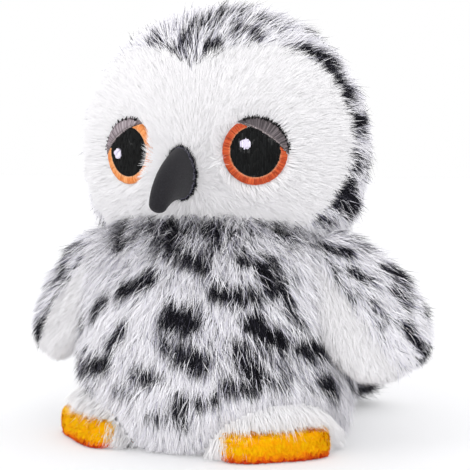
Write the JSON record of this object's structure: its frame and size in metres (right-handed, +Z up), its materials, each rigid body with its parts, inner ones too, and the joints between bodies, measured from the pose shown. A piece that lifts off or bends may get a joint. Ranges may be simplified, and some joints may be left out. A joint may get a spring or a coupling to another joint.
{
  "type": "stuffed owl cat toy",
  "caption": "Small stuffed owl cat toy with a round head, heart-shaped white face, stitched drowsy eyes, spotted plush body, padded wings and feet, wide short tail and weighted flat base.",
  "frame": {"origin": "on the flat base that the toy rests on, below the middle of the body", "axes": "+Z up, the owl looks along -Y, and its left side is +X"},
  "size_m": [0.1058, 0.0871, 0.102],
  "materials": {
    "white_plush": "short white pile",
    "spotted_plush": "long white pile with black tips in spots",
    "orange_plush": "short orange pile",
    "charcoal_felt": "matte felt",
    "iris_thread": "satin stitch",
    "pupil_thread": "satin stitch",
    "highlight_thread": "satin stitch",
    "eyelid_thread": "satin stitch",
    "stuffing": "loose polyester fibre",
    "base_cloth": "plain woven cloth",
    "bag_cloth": "plain woven cloth",
    "pouch_cloth": "plain woven cloth"
  },
  "bodies": {
    "torso": {"face_panel": "white_plush", "head_back_left": "spotted_plush", "head_back_right": "spotted_plush", "head_stuffing": "stuffing", "left_iris_ring": "iris_thread", "right_iris_ring": "iris_thread", "left_pupil": "pupil_thread", "right_pupil": "pupil_thread", "left_highlight": "highlight_thread", "right_highlight": "highlight_thread", "left_eyelid": "eyelid_thread", "right_eyelid": "eyelid_thread", "beak": "charcoal_felt", "beak_stuffing": "stuffing", "body_front": "spotted_plush", "body_back_left": "spotted_plush", "body_back_right": "spotted_plush", "body_stuffing": "stuffing", "base_panel": "base_cloth", "pellet_bag": "bag_cloth", "catnip_pouch": "pouch_cloth", "left_leg_panel": "white_plush", "right_leg_panel": "white_plush"},
    "left_wing": {"left_wing_outer": "spotted_plush", "left_wing_lining": "white_plush", "left_wing_wadding": "stuffing"},
    "right_wing": {"right_wing_outer": "spotted_plush", "right_wing_lining": "white_plush", "right_wing_wadding": "stuffing"},
    "left_foot": {"left_foot_upper": "orange_plush", "left_foot_sole": "orange_plush", "left_foot_wadding": "stuffing"},
    "right_foot": {"right_foot_upper": "orange_plush", "right_foot_sole": "orange_plush", "right_foot_wadding": "stuffing"},
    "tail": {"tail_upper": "spotted_plush", "tail_under": "white_plush", "tail_wadding": "stuffing"}
  },
  "joints": [
    {"name": "left_wing_lift", "type": "hinge", "parent": "torso", "child": "left_wing", "pos_m": [0.03, -0.008, 0.0515], "axis": [0, -1, 0], "range_deg": [0, 60], "stiffness_Nm_per_rad": 0.002},
    {"name": "right_wing_lift", "type": "hinge", "parent": "torso", "child": "right_wing", "pos_m": [-0.03, -0.008, 0.0515], "axis": [0, 1, 0], "range_deg": [0, 60], "stiffness_Nm_per_rad": 0.002},
    {"name": "left_foot_lift", "type": "hinge", "parent": "torso", "child": "left_foot", "pos_m": [0.0215, -0.0225, 0.008], "axis": [-0.7771, -0.6293, 0], "range_deg": [0, 15], "stiffness_Nm_per_rad": 0.002},
    {"name": "right_foot_lift", "type": "hinge", "parent": "torso", "child": "right_foot", "pos_m": [-0.0215, -0.0225, 0.008], "axis": [-0.7771, 0.6293, 0], "range_deg": [0, 15], "stiffness_Nm_per_rad": 0.002},
    {"name": "tail_lift", "type": "hinge", "parent": "torso", "child": "tail", "pos_m": [0, 0.024, 0.015], "axis": [1, 0, 0], "range_deg": [0, 25], "stiffness_Nm_per_rad": 0.002}
  ]
}
